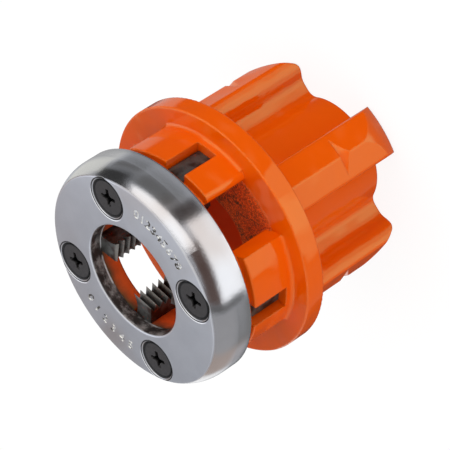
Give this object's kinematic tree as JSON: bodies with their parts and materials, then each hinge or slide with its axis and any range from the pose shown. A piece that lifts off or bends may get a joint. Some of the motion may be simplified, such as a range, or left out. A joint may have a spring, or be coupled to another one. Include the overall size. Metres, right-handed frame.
{
  "type": "pipe threading die head",
  "caption": "Ribbed and flanged die head with a screwed cover plate and toothed steel dies that slide in slots, for cutting taper pipe threads.",
  "frame": {"origin": "on the head's axis, in the plane of the ribbed drive end that it stands on", "axes": "+Z along the axis from the ribbed drive end to the cover plate, +X through the ridge of the first drive rib"},
  "size_m": [0.0626, 0.0626, 0.0637],
  "materials": {
    "painted_body": "glossy orange enamel on a casting",
    "cover_steel": "satin grey plated steel",
    "black_screw": "blackened steel",
    "die_steel": "oiled dark tool steel"
  },
  "bodies": {
    "head": {"die_head_body": "painted_body", "cover_plate": "cover_steel", "cover_screw_1": "black_screw", "cover_screw_2": "black_screw", "cover_screw_3": "black_screw", "cover_screw_4": "black_screw"},
    "die_1": {"die_1": "die_steel"},
    "die_2": {"die_2": "die_steel"},
    "die_3": {"die_3": "die_steel"},
    "die_4": {"die_4": "die_steel"}
  },
  "joints": [
    {"name": "die_1_slide", "type": "slide", "parent": "head", "child": "die_1", "axis": [-0.7638, -0.6455, 0], "range_m": [0, 0.005]},
    {"name": "die_2_slide", "type": "slide", "parent": "head", "child": "die_2", "axis": [0.6455, -0.7638, 0], "range_m": [0, 0.005]},
    {"name": "die_3_slide", "type": "slide", "parent": "head", "child": "die_3", "axis": [0.7638, 0.6455, 0], "range_m": [0, 0.005]},
    {"name": "die_4_slide", "type": "slide", "parent": "head", "child": "die_4", "axis": [-0.6455, 0.7638, 0], "range_m": [0, 0.005]}
  ]
}
